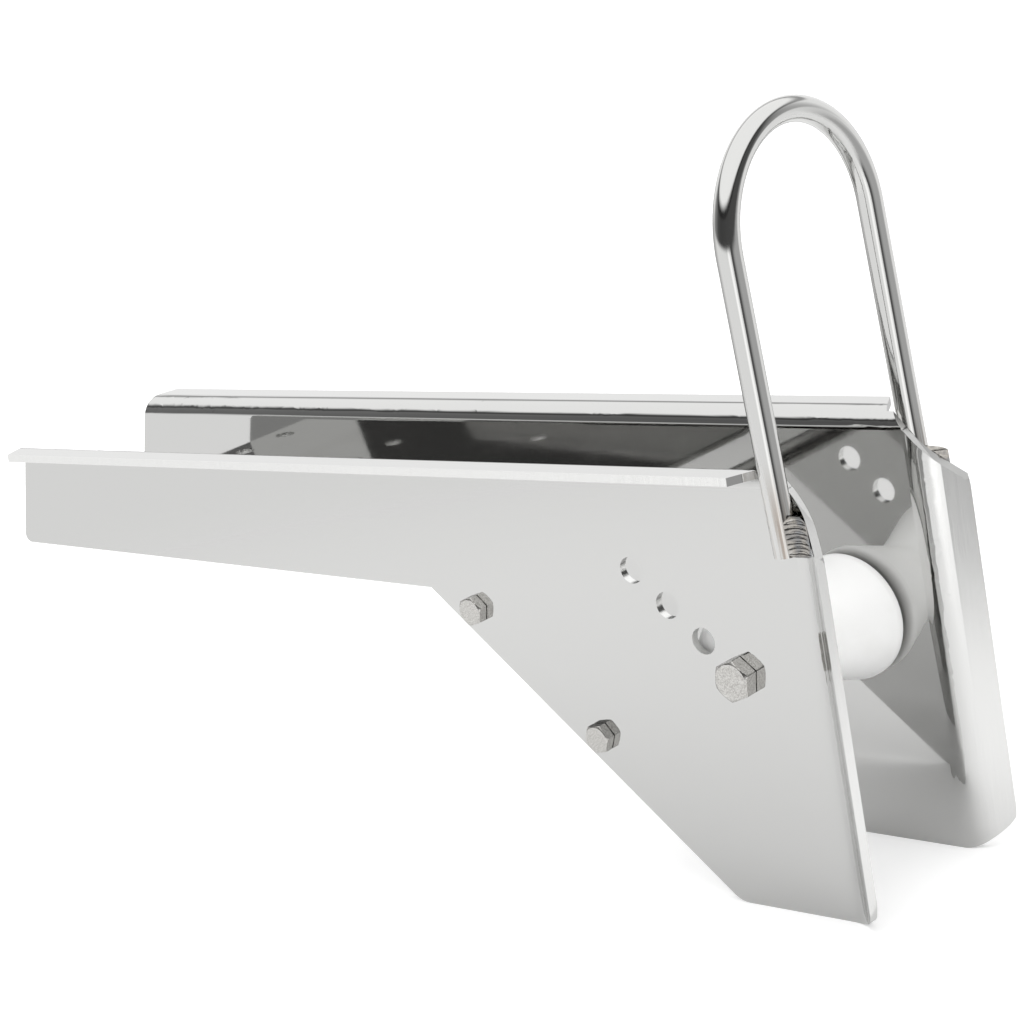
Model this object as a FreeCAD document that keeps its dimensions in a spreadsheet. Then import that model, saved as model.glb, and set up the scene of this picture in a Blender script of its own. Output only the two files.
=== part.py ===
import FreeCAD, Part
import math
import os
import Sketcher

# Bow roller with a welded hoop, in millimetres.
# +X points over the bow, +Y to port and +Z up. The origin is the centre of the four
# deck bolts on the underside of the floor plate.

SIZES = {
    # cheeks: X and Z from the rear bottom corner, which lies on the deck
    "inside_width": 86,
    "plate": 4,
    "arm_length": 305,
    "rear_height": 55.5,
    "rear_lean": 16,
    "flange_rise": 2.15,
    "flange_width": 17,
    "flange_end_skew": 29,
    "bend_radius": 6,
    "slope_angle": 40,
    "slope_length": 219,
    "keel_length": 63.6,
    "front_lean": 1.3,
    "nose_cut_drop": 19.5,
    "nose_cut_angle": 50,
    "flare_angle": 45,
    "flare_width": 12.4,
    "flare_bend_radius": 17,
    "flare_foot_radius": 22,
    "flare_tip_radius": 7,
    "rear_corner_radius": 4,
    "keel_corner_radius": 14,
    "trim_allowance": 0.2,
    # row of cross holes above the sloping edge, the lowest one holding the axle
    "row_offset": 99,
    "row_start": 87.1,
    "row_pitch": 24.2,
    "row_count": 4,
    "row_hole": 13,
    # two through bolts beside the sloping edge
    "edge_bolt_offset": 11.5,
    "edge_bolt_start": 27,
    "edge_bolt_pitch": 90,
    "edge_bolt_hole": 9,
    # floor plate, its deck bolt holes and its seam welds
    "floor_inset": 1.5,
    "deck_hole": 11,
    "deck_hole_setback": 14,
    "deck_hole_pitch": 88,
    "deck_hole_spread": 52,
    "seam_weld": 2,
    "seam_weld_inset": 6,
    # hoop and its welds
    "hoop_bar": 12,
    "hoop_flare_gap": 3.3,
    "hoop_flange_gap": 3.5,
    "hoop_foot": 37,
    "hoop_lean": 3.8,
    "hoop_leg": 134.5,
    "hoop_weld_height": 19,
    "hoop_weld_leg": 4.5,
    "hoop_weld_throat": 9.5,
    "weld_forward_share": 0.25,
    "weld_outward_share": 0.33,
    "weld_root_share": 0.2,
    "weld_bite": 2,
    "weld_lap": 1,
    # roller and its axle
    "roller_diameter": 62,
    "roller_waist": 38,
    "roller_land": 6,
    "roller_edge": 4,
    "roller_shoulder": 3,
    "roller_waist_radius": 14,
    "side_washer": 1,
    "side_washer_diameter": 30,
    "side_play": 0.5,
    "sleeve_diameter": 16,
    "sleeve_bore": 12.4,
    "running_clearance": 0.08,
    "washer_clearance": 0.25,
    "thread_gap": 0.05,
    # hexagon and thread ends, as shares of the flats and of the diameter
    "face_share": 0.475,
    "rim_share": 0.65,
    "bevel_angle": 30,
    "thread_end_share": 0.1,
    # axle bolt, washer and lock nut
    "axle_diameter": 12,
    "axle_flats": 18,
    "axle_head": 7.5,
    "axle_tip": 1.5,
    "axle_turn": -22,
    "axle_washer": 2.5,
    "axle_washer_diameter": 24,
    "axle_nut": 12,
    "axle_nut_hexagon": 8.4,
    # through bolts, their washers, lock nuts and spacer tubes
    "edge_diameter": 8,
    "edge_flats": 13,
    "edge_head": 5.3,
    "edge_tip": 6.4,
    "upper_turn": -18,
    "lower_turn": -9,
    "edge_washer": 1.6,
    "edge_washer_diameter": 16,
    "edge_nut": 8,
    "edge_nut_hexagon": 5.6,
    "insert_wall": 1.5,
    "collar_wall": 0.7,
    "spacer_diameter": 13,
    "spacer_bore": 8.6,
}

doc = FreeCAD.newDocument("BowRoller")
sheet = doc.addObject("Spreadsheet::Sheet", "Sizes")
for row, (alias, size) in enumerate(SIZES.items(), start=1):
    sheet.set(f"A{row}", alias)
    sheet.set(f"B{row}", str(size))
    sheet.setAlias(f"B{row}", alias)
doc.recompute()

# Expressions that several pieces share. CLEAR reaches past any edge that is cut.
INNER = "Sizes.inside_width / 2"
OUTER = "(Sizes.inside_width / 2 + Sizes.plate)"
BEND = "(Sizes.bend_radius + Sizes.plate)"
FLARE_BEND = "(Sizes.flare_bend_radius + Sizes.plate)"
CLEAR = "Sizes.rear_height"
COS_SLOPE = "cos(Sizes.slope_angle)"
SIN_SLOPE = "sin(Sizes.slope_angle)"
KEEL = f"(-Sizes.slope_length * {SIN_SLOPE})"
ORIGIN_X = "(Sizes.deck_hole_setback + Sizes.deck_hole_pitch / 2)"


def along_slope(distance, offset):
    """X and Z of a point set along the sloping edge and square off it."""
    x = f"(Sizes.arm_length + ({distance}) * {COS_SLOPE} + ({offset}) * {SIN_SLOPE})"
    z = f"(-({distance}) * {SIN_SLOPE} + ({offset}) * {COS_SLOPE})"
    return x, z


AXLE = along_slope("Sizes.row_start + (Sizes.row_count - 1) * Sizes.row_pitch", "Sizes.row_offset")
UPPER_BOLT = along_slope("Sizes.edge_bolt_start", "Sizes.edge_bolt_offset")
LOWER_BOLT = along_slope("Sizes.edge_bolt_start + Sizes.edge_bolt_pitch", "Sizes.edge_bolt_offset")


def number(expression):
    """Present value of an expression over the sheet."""
    return float(sheet.evalExpression(str(expression)))


def new_body(label, x="0", y="0", z="0", axis=(0, 0, 1), turn="0"):
    """Body whose own frame is placed in the assembly by expressions."""
    body = doc.addObject("PartDesign::Body", label)
    body.Label = label
    body.Placement = FreeCAD.Placement(FreeCAD.Vector(), FreeCAD.Rotation(FreeCAD.Vector(*axis), 1))
    body.setExpression("Placement.Rotation.Angle", turn)
    body.setExpression("Placement.Base.x", f"({x}) - {ORIGIN_X}")
    body.setExpression("Placement.Base.y", y)
    body.setExpression("Placement.Base.z", z)
    return body


def new_sketch(body, name, role, offset="0"):
    """Sketch on one of the body's own origin planes, moved along that plane's normal."""
    sketch = body.newObject("Sketcher::SketchObject", name)
    plane = next(item for item in body.Origin.OriginFeatures if item.Role == role)
    sketch.AttachmentSupport = [(plane, "")]
    sketch.MapMode = "FlatFace"
    sketch.setExpression("AttachmentOffset.Base.z", offset)
    return sketch


def pin(sketch, geometry, point, x, y):
    """Place one sketch point by an expression for each axis."""
    for kind, expression in (("DistanceX", x), ("DistanceY", y)):
        place = Sketcher.Constraint(kind, -1, 1, geometry, point, number(expression))
        index = sketch.addConstraint(place)
        sketch.setExpression(f"Constraints[{index}]", str(expression))


def outline(sketch, corners):
    """Closed outline. A corner is x, y and, where it is rounded, a radius."""
    count = len(corners)
    sharp = [FreeCAD.Vector(number(c[0]), number(c[1]), 0) for c in corners]
    radii = [number(c[2]) if len(c) > 2 else 0 for c in corners]
    starts, ends, centres = [], [], []
    for i in range(count):
        back = (sharp[i - 1] - sharp[i]).normalize()
        ahead = (sharp[(i + 1) % count] - sharp[i]).normalize()
        half = back.getAngle(ahead) / 2
        reach = radii[i] / math.tan(half)
        ends.append(sharp[i] + back * reach)
        starts.append(sharp[i] + ahead * reach)
        middle = (back + ahead).normalize()
        centres.append(sharp[i] + middle * math.hypot(reach, radii[i]))
    sides = [
        sketch.addGeometry(Part.LineSegment(starts[i], ends[(i + 1) % count])) for i in range(count)
    ]
    for i, corner in enumerate(corners):
        before, after = sides[i - 1], sides[i]
        if not radii[i]:
            sketch.addConstraint(Sketcher.Constraint("Coincident", before, 2, after, 1))
            pin(sketch, after, 1, corner[0], corner[1])
            continue
        circle_mid = centres[i] + (sharp[i] - centres[i]).normalize() * radii[i]
        arc = sketch.addGeometry(Part.Arc(ends[i], circle_mid, starts[i]))
        flipped = sketch.getPoint(arc, 1).distanceToPoint(ends[i]) > 1e-6
        near, far = (2, 1) if flipped else (1, 2)
        sketch.addConstraint(Sketcher.Constraint("Tangent", before, 2, arc, near))
        sketch.addConstraint(Sketcher.Constraint("Tangent", arc, far, after, 1))
        radius = sketch.addConstraint(Sketcher.Constraint("Radius", arc, radii[i]))
        sketch.setExpression(f"Constraints[{radius}]", str(corner[2]))
        mark = sketch.addGeometry(Part.Point(sharp[i]), True)
        pin(sketch, mark, 1, corner[0], corner[1])
        sketch.addConstraint(Sketcher.Constraint("PointOnObject", mark, 1, before))
        sketch.addConstraint(Sketcher.Constraint("PointOnObject", mark, 1, after))


def circle(sketch, x, y, diameter):
    """Circle placed and sized by expressions."""
    centre = FreeCAD.Vector(number(x), number(y), 0)
    ring = sketch.addGeometry(Part.Circle(centre, FreeCAD.Vector(0, 0, 1), number(diameter) / 2))
    pin(sketch, ring, 3, x, y)
    size = sketch.addConstraint(Sketcher.Constraint("Diameter", ring, number(diameter)))
    sketch.setExpression(f"Constraints[{size}]", str(diameter))


def pad(body, sketch, name, length, reverse=False, direction=None):
    """Pad of a sketch, straight or along a slanting direction."""
    feature = body.newObject("PartDesign::Pad", name)
    feature.Profile = sketch
    feature.setExpression("Length", str(length))
    feature.Reversed = reverse
    if direction:
        feature.UseCustomVector = True
        feature.AlongSketchNormal = False
        feature.Direction = FreeCAD.Vector(*[number(part) for part in direction])
        for axis, part in zip("xyz", direction):
            feature.setExpression(f"Direction.{axis}", str(part))
    doc.recompute()
    return feature


def pocket(body, sketch, name, length, reverse=False):
    """Pocket that has to take material away."""
    before = body.Shape.Volume
    feature = body.newObject("PartDesign::Pocket", name)
    feature.Profile = sketch
    feature.setExpression("Length", str(length))
    feature.Reversed = reverse
    doc.recompute()
    if feature.Shape.Volume >= before - 1e-6:
        raise RuntimeError(f"{name} cuts nothing from {body.Label}")
    return feature


def revolve(body, sketch, name):
    """Full turn of a sketch about its own vertical axis."""
    feature = body.newObject("PartDesign::Revolution", name)
    feature.Profile = sketch
    feature.ReferenceAxis = (sketch, ["V_Axis"])
    feature.Angle = 360
    doc.recompute()
    return feature


def repeat(body, feature, sketch, axis, length, count):
    """Linear pattern of a feature along one of its sketch's axes."""
    pattern = body.newObject("PartDesign::LinearPattern", f"{feature.Name}Row")
    pattern.Originals = [feature]
    pattern.Direction = (sketch, [axis])
    pattern.setExpression("Length", length)
    pattern.setExpression("Occurrences", count)
    body.Tip = pattern
    doc.recompute()
    return pattern


# Lines of the cheek's side view.
RISE = "tan(Sizes.flange_rise)"
LEAN = "tan(Sizes.front_lean)"
KEEL_CORNER = f"(Sizes.arm_length + Sizes.slope_length * {COS_SLOPE})"
FRONT = f"({KEEL_CORNER} + Sizes.keel_length + {KEEL} * {LEAN})"
WALL_TOP = f"(Sizes.rear_height - {BEND})"
TOP_X = f"(({FRONT} - {WALL_TOP} * {LEAN}) / (1 + {RISE} * {LEAN}))"
TOP_Z = f"({WALL_TOP} + {RISE} * {TOP_X})"
HALF_FOLD = "tan(Sizes.flare_angle / 2)"
COS_FLARE = "cos(Sizes.flare_angle)"
SIN_FLARE = "sin(Sizes.flare_angle)"
FLARE_RUN = f"({FLARE_BEND} * {HALF_FOLD} + Sizes.flare_width)"
NOSE = f"({FRONT} + {FLARE_BEND} * {HALF_FOLD})"
TIP = f"({NOSE} + {FLARE_RUN} * {COS_FLARE} + Sizes.trim_allowance)"

# Hoop leg, set clear of the flare's back face and of the flange's end.
HOOP_Y = f"({OUTER} + Sizes.hoop_bar / 2)"
FLARE_TO_LEG = f"((Sizes.hoop_bar / 2 * (1 - {COS_FLARE}) + Sizes.hoop_flare_gap) / {SIN_FLARE})"
HOOP_X = (
    f"({FRONT} - Sizes.hoop_foot * {LEAN} + Sizes.flare_bend_radius * {HALF_FOLD} - {FLARE_TO_LEG})"
)
LEG_AT_FLANGE = f"({HOOP_X} - ({TOP_Z} - Sizes.hoop_foot + {BEND}) * tan(Sizes.hoop_lean))"
SKEW = "Sizes.flange_end_skew"
LEG_TO_END = f"((Sizes.hoop_bar / 2 * (1 - sin({SKEW})) + Sizes.hoop_flange_gap) / cos({SKEW}))"
FLANGE_END = f"({LEG_AT_FLANGE} - {LEG_TO_END})"


def front_at(z):
    """X of the front bend line at a height."""
    return f"({FRONT} - ({z}) * {LEAN})"


def cheek_wall(body, side):
    """Flat side wall of a cheek, bottom edges included."""
    offset = f"{-side} * {INNER}"
    sketch = new_sketch(body, "WallOutline", "XZ_Plane", offset)
    outline(sketch, [
        ("0", "0"),
        ("Sizes.arm_length", "0"),
        (KEEL_CORNER, KEEL),
        (front_at(KEEL), KEEL),
        (TOP_X, TOP_Z),
        ("0", WALL_TOP),
    ])
    pad(body, sketch, "Wall", "Sizes.plate", reverse=side > 0)


def cheek_flange(body, side):
    """Top edge folded outward, rising towards the bow."""
    inner = f"{side} * {INNER}"
    outer = f"{side} * {OUTER}"
    edge = f"{side} * ({OUTER} + Sizes.flange_width)"
    underside = "Sizes.rear_height - Sizes.plate"
    overlap = f"{WALL_TOP} - Sizes.plate"
    sketch = new_sketch(body, "FlangeProfile", "YZ_Plane")
    outline(sketch, [
        (inner, overlap),
        (inner, "Sizes.rear_height", BEND),
        (edge, "Sizes.rear_height"),
        (edge, underside),
        (outer, underside, "Sizes.bend_radius"),
        (outer, overlap),
    ])
    rising = ("cos(Sizes.flange_rise)", "0", "sin(Sizes.flange_rise)")
    pad(body, sketch, "Flange", f"{front_at(TOP_Z)} / {rising[0]}", direction=rising)


def cheek_flare(body, side):
    """Front edge folded outward, over the cheek's whole height."""
    below = f"({KEEL} - Sizes.plate)"
    bend = front_at(below)
    run_x = f"{FLARE_RUN} * {COS_FLARE}"
    run_y = f"{FLARE_RUN} * {SIN_FLARE}"
    corner = f"{bend} + {FLARE_BEND} * {HALF_FOLD}"
    back_corner = f"{bend} + Sizes.flare_bend_radius * {HALF_FOLD}"
    tip_x = f"({corner} + {run_x})"
    tip_y = f"({INNER} + {run_y})"
    back_x = f"({tip_x} - Sizes.plate * {SIN_FLARE})"
    back_y = f"({tip_y} + Sizes.plate * {COS_FLARE})"
    sketch = new_sketch(body, "FlareProfile", "XY_Plane", below)
    outline(sketch, [
        (f"{bend} - Sizes.plate", f"{side} * {INNER}"),
        (corner, f"{side} * {INNER}", FLARE_BEND),
        (tip_x, f"{side} * {tip_y}"),
        (back_x, f"{side} * {back_y}"),
        (back_corner, f"{side} * {OUTER}", "Sizes.flare_bend_radius"),
        (f"{bend} - Sizes.plate", f"{side} * {OUTER}"),
    ])
    upright = ("-sin(Sizes.front_lean)", "0", "cos(Sizes.front_lean)")
    height = f"({TOP_Z} - {below}) / {upright[2]}"
    pad(body, sketch, "Flare", height, direction=upright)


def cheek_trim(body, side):
    """Everything outside the side view is cut away: rear lean, nose cut, round corners."""
    nose_x = f"({NOSE} - {TOP_Z} * {LEAN})"
    nose_z = f"({TOP_Z} + {BEND} - Sizes.nose_cut_drop)"
    steep = "tan(Sizes.nose_cut_angle)"
    tip_x = f"(({TIP} - {LEAN} * ({nose_z} + {nose_x} * {steep})) / (1 - {LEAN} * {steep}))"
    tip_z = f"({nose_z} - ({tip_x} - {nose_x}) * {steep})"
    above = f"({TOP_Z} + {CLEAR})"
    sketch = new_sketch(body, "SideView", "XZ_Plane")
    outline(sketch, [
        (f"-{CLEAR}", f"{KEEL} - {CLEAR}"),
        (f"{TIP} + {CLEAR}", f"{KEEL} - {CLEAR}"),
        (f"{TIP} + {CLEAR}", f"{above} + {CLEAR}"),
        (f"-{CLEAR}", f"{above} + {CLEAR}"),
    ])
    outline(sketch, [
        ("0", "0", "Sizes.rear_corner_radius"),
        ("Sizes.arm_length", "0"),
        (KEEL_CORNER, KEEL, "Sizes.keel_corner_radius"),
        (f"{TIP} - {KEEL} * {LEAN}", KEEL, "Sizes.flare_foot_radius"),
        (tip_x, tip_z, "Sizes.flare_tip_radius"),
        (f"{nose_x} - ({above} - {nose_z}) / {steep}", above),
        (f"{above} * tan(Sizes.rear_lean)", above),
    ])
    pocket(body, sketch, "Trim", f"2 * {OUTER}", reverse=side < 0)


def cheek_flange_ends(body, side):
    """Slanting ends of the folded flange, seen from above."""
    rear = "(Sizes.rear_height * tan(Sizes.rear_lean))"
    overhang = "(Sizes.flange_width + Sizes.plate)"
    root = f"{side} * {OUTER}"
    far = f"{side} * ({OUTER} + {overhang})"
    sketch = new_sketch(body, "FlangeEnds", "XY_Plane", WALL_TOP)
    outline(sketch, [
        (f"{rear} - 2 * {overhang}", root),
        (rear, root),
        (f"{rear} + {overhang} * tan(Sizes.rear_lean)", far),
        (f"{rear} - 2 * {overhang}", far),
    ])
    past = f"({front_at(TOP_Z)} + Sizes.trim_allowance)"
    outline(sketch, [
        (past, root),
        (FLANGE_END, root),
        (f"{FLANGE_END} - {overhang} * tan({SKEW})", far),
        (past, far),
    ])
    pocket(body, sketch, "EndCuts", f"{TOP_Z} + {BEND}", reverse=True)


def cheek_holes(body, side):
    """Row of four cross holes and the two through-bolt holes."""
    row = along_slope("Sizes.row_start", "Sizes.row_offset")
    sketch = new_sketch(body, "RowHole", "XZ_Plane")
    circle(sketch, *row, "Sizes.row_hole")
    ends = [FreeCAD.Vector(number(p[0]), number(p[1]), 0) for p in (row, AXLE)]
    line = sketch.addGeometry(Part.LineSegment(*ends), True)
    pin(sketch, line, 1, *row)
    pin(sketch, line, 2, *AXLE)
    first = pocket(body, sketch, "CrossHole", f"2 * {OUTER}", reverse=side < 0)
    span = "(Sizes.row_count - 1) * Sizes.row_pitch"
    repeat(body, first, sketch, "Axis0", span, "Sizes.row_count")
    sketch = new_sketch(body, "EdgeHoles", "XZ_Plane")
    circle(sketch, *UPPER_BOLT, "Sizes.edge_bolt_hole")
    circle(sketch, *LOWER_BOLT, "Sizes.edge_bolt_hole")
    pocket(body, sketch, "BoltHoles", f"2 * {OUTER}", reverse=side < 0)


def cheek(label, side):
    """One cheek, folded from a single plate. Side is 1 to port and -1 to starboard."""
    body = new_body(label)
    cheek_wall(body, side)
    cheek_flange(body, side)
    cheek_flare(body, side)
    cheek_trim(body, side)
    cheek_flange_ends(body, side)
    cheek_holes(body, side)
    return body


def floor_plate():
    """Floor between the cheeks, with the deck bolt holes."""
    body = new_body("floor_plate")
    waist = f"({INNER} - Sizes.seam_weld)"
    sketch = new_sketch(body, "Section", "YZ_Plane", "Sizes.floor_inset")
    outline(sketch, [
        (f"-{waist}", "0"),
        (waist, "0"),
        (INNER, "Sizes.seam_weld"),
        (INNER, "Sizes.plate"),
        (f"-{INNER}", "Sizes.plate"),
        (f"-{INNER}", "Sizes.seam_weld"),
    ])
    pad(body, sketch, "Plate", "Sizes.arm_length - Sizes.floor_inset")
    pair = new_sketch(body, "HolePair", "XY_Plane")
    for y in ("Sizes.deck_hole_spread / 2", "-Sizes.deck_hole_spread / 2"):
        circle(pair, "Sizes.deck_hole_setback", y, "Sizes.deck_hole")
    holes = pocket(body, pair, "DeckHoles", "2 * Sizes.plate", reverse=True)
    repeat(body, holes, pair, "H_Axis", "Sizes.deck_hole_pitch", "2")
    single = new_sketch(body, "FrontHole", "XY_Plane")
    circle(single, "Sizes.deck_hole_setback + 2 * Sizes.deck_hole_pitch", "0", "Sizes.deck_hole")
    pocket(body, single, "ForwardHole", "2 * Sizes.plate", reverse=True)


def floor_weld(label, side):
    """Seam weld in the bevel under the floor's edge, ground flush."""
    body = new_body(label)
    sketch = new_sketch(body, "Section", "YZ_Plane", "Sizes.seam_weld_inset")
    outline(sketch, [
        (f"{side} * {INNER}", "0"),
        (f"{side} * ({INNER} - Sizes.seam_weld)", "0"),
        (f"{side} * {INNER}", "Sizes.seam_weld"),
    ])
    pad(body, sketch, "Bead", "Sizes.arm_length - 2 * Sizes.seam_weld_inset")


def hoop_frame(label):
    """Body that stands at the feet of the hoop and leans back with it."""
    return new_body(label, HOOP_X, z="Sizes.hoop_foot", axis=(0, -1, 0), turn="Sizes.hoop_lean")


def hoop():
    """Round bar bent to an upturned U, its legs outside the cheeks."""
    body = hoop_frame("hoop")
    path = new_sketch(body, "Path", "YZ_Plane")
    y, top = number(HOOP_Y), number("Sizes.hoop_leg")
    feet = [FreeCAD.Vector(-y, 0, 0), FreeCAD.Vector(y, 0, 0)]
    shoulders = [FreeCAD.Vector(-y, top, 0), FreeCAD.Vector(y, top, 0)]
    rising = path.addGeometry(Part.LineSegment(feet[0], shoulders[0]))
    crown = path.addGeometry(Part.Arc(shoulders[0], FreeCAD.Vector(0, top + y, 0), shoulders[1]))
    falling = path.addGeometry(Part.LineSegment(shoulders[1], feet[1]))
    first, last = (2, 1) if path.getPoint(crown, 1).x > 0 else (1, 2)
    pin(path, rising, 1, f"-{HOOP_Y}", "0")
    pin(path, rising, 2, f"-{HOOP_Y}", "Sizes.hoop_leg")
    pin(path, falling, 1, HOOP_Y, "Sizes.hoop_leg")
    pin(path, falling, 2, HOOP_Y, "0")
    path.addConstraint(Sketcher.Constraint("Coincident", rising, 2, crown, first))
    path.addConstraint(Sketcher.Constraint("Tangent", crown, last, falling, 1))
    section = new_sketch(body, "Section", "XY_Plane")
    circle(section, "0", f"-{HOOP_Y}", "Sizes.hoop_bar")
    pipe = body.newObject("PartDesign::AdditivePipe", "Bar")
    pipe.Profile = section
    pipe.Spine = (path, ["Edge1", "Edge2", "Edge3"])
    doc.recompute()
    return body


def hoop_weld(label, side, bar, plate):
    """Beads that fill the corners between a hoop leg, the cheek and its flare."""
    blank = hoop_frame(f"{label}_blank")
    rear = "(Sizes.hoop_bar / 2 + Sizes.hoop_weld_leg)"
    flare = f"({FLARE_TO_LEG} + Sizes.hoop_weld_throat / tan(Sizes.flare_angle))"
    forward = "Sizes.weld_forward_share * Sizes.hoop_bar"
    outward = "Sizes.weld_outward_share * Sizes.hoop_bar"
    root = "Sizes.weld_root_share * Sizes.hoop_bar"
    sketch = new_sketch(blank, "Section", "XY_Plane")
    outline(sketch, [
        (f"-{rear}", f"{side} * {OUTER}"),
        (f"-{rear} + Sizes.hoop_weld_leg", f"{side} * ({OUTER} + Sizes.hoop_weld_leg)"),
        (forward, f"{side} * ({HOOP_Y} + {outward})"),
        (f"{flare} + Sizes.weld_lap", f"{side} * ({OUTER} + Sizes.hoop_weld_throat)"),
        (f"{FLARE_TO_LEG} + Sizes.weld_bite", f"{side} * {OUTER}"),
        (root, f"{side} * {OUTER}"),
        ("0", f"{side} * {HOOP_Y}"),
        (f"-{root}", f"{side} * {OUTER}"),
    ])
    pad(blank, sketch, "Bead", "Sizes.hoop_weld_height")
    clear = doc.addObject("Part::Cut", f"{label}_off_bar")
    clear.Base = blank
    clear.Tool = bar
    bead = doc.addObject("Part::Cut", label)
    bead.Label = label
    bead.Base = clear
    bead.Tool = plate
    doc.recompute()


def cross_body(label, place, y):
    """Body whose own Z axis runs to port through a point of the side view."""
    return new_body(label, place[0], y, place[1], axis=(1, 0, 0), turn="-90")


def tube(label, place, y, length, outer, inner):
    """Plain ring or tube lying across the roller."""
    body = cross_body(label, place, y)
    sketch = new_sketch(body, "Section", "XY_Plane")
    circle(sketch, "0", "0", outer)
    circle(sketch, "0", "0", inner)
    pad(body, sketch, "Ring", length)


def hexagon(sketch, flats, turn):
    """Hexagon about the sketch's origin, turned by an angle."""
    radius = f"{flats} / sqrt(3)"
    angles = [f"({turn} + {60 * i})" for i in range(6)]
    outline(sketch, [(f"{radius} * cos{a}", f"{radius} * sin{a}") for a in angles])


def bevel(body, name, flats, face, inward):
    """Bevel that rounds off the corners of a hexagon's face."""
    edge = f"Sizes.face_share * {flats}"
    rim = f"Sizes.rim_share * {flats}"
    depth = f"({rim} - {edge}) * tan(Sizes.bevel_angle)"
    sketch = new_sketch(body, name, "XZ_Plane")
    outline(sketch, [
        (edge, face),
        (rim, f"{face} + {inward} * {depth}"),
        (rim, f"{face} - {inward} * Sizes.plate"),
        (edge, f"{face} - {inward} * Sizes.plate"),
    ])
    feature = body.newObject("PartDesign::Groove", f"{name}Cut")
    feature.Profile = sketch
    feature.ReferenceAxis = (sketch, ["V_Axis"])
    feature.Angle = 360
    doc.recompute()


def bolt(label, place, kind, turn):
    """Hexagon-head bolt with its head on the starboard cheek."""
    body = cross_body(label, place, f"-{OUTER}")
    flats, head = f"Sizes.{kind}_flats", f"Sizes.{kind}_head"
    across = f"Sizes.{kind}_diameter"
    grip = f"2 * {OUTER} + Sizes.{kind}_washer + Sizes.{kind}_nut"
    length = f"({grip} + Sizes.{kind}_tip)"
    chamfer = f"Sizes.thread_end_share * {across}"
    sketch = new_sketch(body, "Head", "XY_Plane")
    hexagon(sketch, flats, turn)
    pad(body, sketch, "HeadPad", head, reverse=True)
    bevel(body, "HeadBevel", flats, f"-{head}", 1)
    sketch = new_sketch(body, "Shank", "XZ_Plane")
    outline(sketch, [
        ("0", f"-{head} / 2"),
        (f"{across} / 2", f"-{head} / 2"),
        (f"{across} / 2", f"{length} - {chamfer}"),
        (f"{across} / 2 - {chamfer}", length),
        ("0", length),
    ])
    revolve(body, sketch, "ShankTurn")


def lock_nut(label, place, kind, turn):
    """Hexagon nut with a thin collar that holds the nylon insert."""
    body = cross_body(label, place, f"{OUTER} + Sizes.{kind}_washer")
    flats, height = f"Sizes.{kind}_flats", f"Sizes.{kind}_nut"
    bore = f"(Sizes.{kind}_diameter / 2 + Sizes.thread_gap)"
    pocket_radius = f"({bore} + Sizes.insert_wall)"
    collar = f"({pocket_radius} + Sizes.collar_wall)"
    step = f"Sizes.{kind}_nut_hexagon"
    sketch = new_sketch(body, "Hexagon", "XY_Plane")
    hexagon(sketch, flats, turn)
    circle(sketch, "0", "0", f"2 * {bore}")
    pad(body, sketch, "HexagonPad", step)
    bevel(body, "FootBevel", flats, "0", 1)
    sketch = new_sketch(body, "Collar", "XZ_Plane")
    outline(sketch, [
        (pocket_radius, f"{step} - Sizes.collar_wall"),
        (collar, f"{step} - Sizes.collar_wall"),
        (collar, height),
        (f"{pocket_radius} - Sizes.collar_wall", height),
        (f"{pocket_radius} - Sizes.collar_wall", f"{height} - Sizes.collar_wall"),
        (pocket_radius, f"{height} - Sizes.collar_wall"),
    ])
    revolve(body, sketch, "CollarTurn")


def nut_insert(label, place, kind):
    """Nylon ring that grips the thread inside a lock nut's collar."""
    bore = f"(Sizes.{kind}_diameter + 2 * Sizes.thread_gap)"
    foot = f"{OUTER} + Sizes.{kind}_washer + Sizes.{kind}_nut_hexagon"
    height = f"Sizes.{kind}_nut - Sizes.{kind}_nut_hexagon - Sizes.collar_wall"
    tube(label, place, foot, height, f"{bore} + 2 * Sizes.insert_wall", bore)


def roller():
    """Grooved roller that turns freely on the axle sleeve."""
    body = cross_body("roller", AXLE, "0")
    half = "(Sizes.inside_width / 2 - Sizes.side_washer - Sizes.side_play)"
    rim = "Sizes.roller_diameter / 2"
    bore = "(Sizes.sleeve_diameter / 2 + Sizes.running_clearance)"
    land = f"({half} - Sizes.roller_land)"
    sketch = new_sketch(body, "Profile", "XZ_Plane")
    outline(sketch, [
        (bore, f"-{half}"),
        (rim, f"-{half}", "Sizes.roller_edge"),
        (rim, f"-{land}", "Sizes.roller_shoulder"),
        ("Sizes.roller_waist / 2", "0", "Sizes.roller_waist_radius"),
        (rim, land, "Sizes.roller_shoulder"),
        (rim, half, "Sizes.roller_edge"),
        (bore, half),
    ])
    revolve(body, sketch, "RollerTurn")


def axle_set():
    """Sleeve, side washers, bolt, washer and lock nut of the roller."""
    across = "Sizes.inside_width"
    hole = "Sizes.sleeve_diameter + 2 * Sizes.washer_clearance"
    tube("axle_sleeve", AXLE, f"-{INNER}", across, "Sizes.sleeve_diameter", "Sizes.sleeve_bore")
    for label, y in (("starboard_side_washer", f"-{INNER}"),
                     ("port_side_washer", f"{INNER} - Sizes.side_washer")):
        tube(label, AXLE, y, "Sizes.side_washer", "Sizes.side_washer_diameter", hole)
    bolt("axle_bolt", AXLE, "axle", "Sizes.axle_turn")
    washer, hole = "Sizes.axle_washer", "Sizes.row_hole"
    tube("axle_washer", AXLE, OUTER, washer, "Sizes.axle_washer_diameter", hole)
    lock_nut("axle_lock_nut", AXLE, "axle", "Sizes.axle_turn")
    nut_insert("axle_nut_insert", AXLE, "axle")


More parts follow.
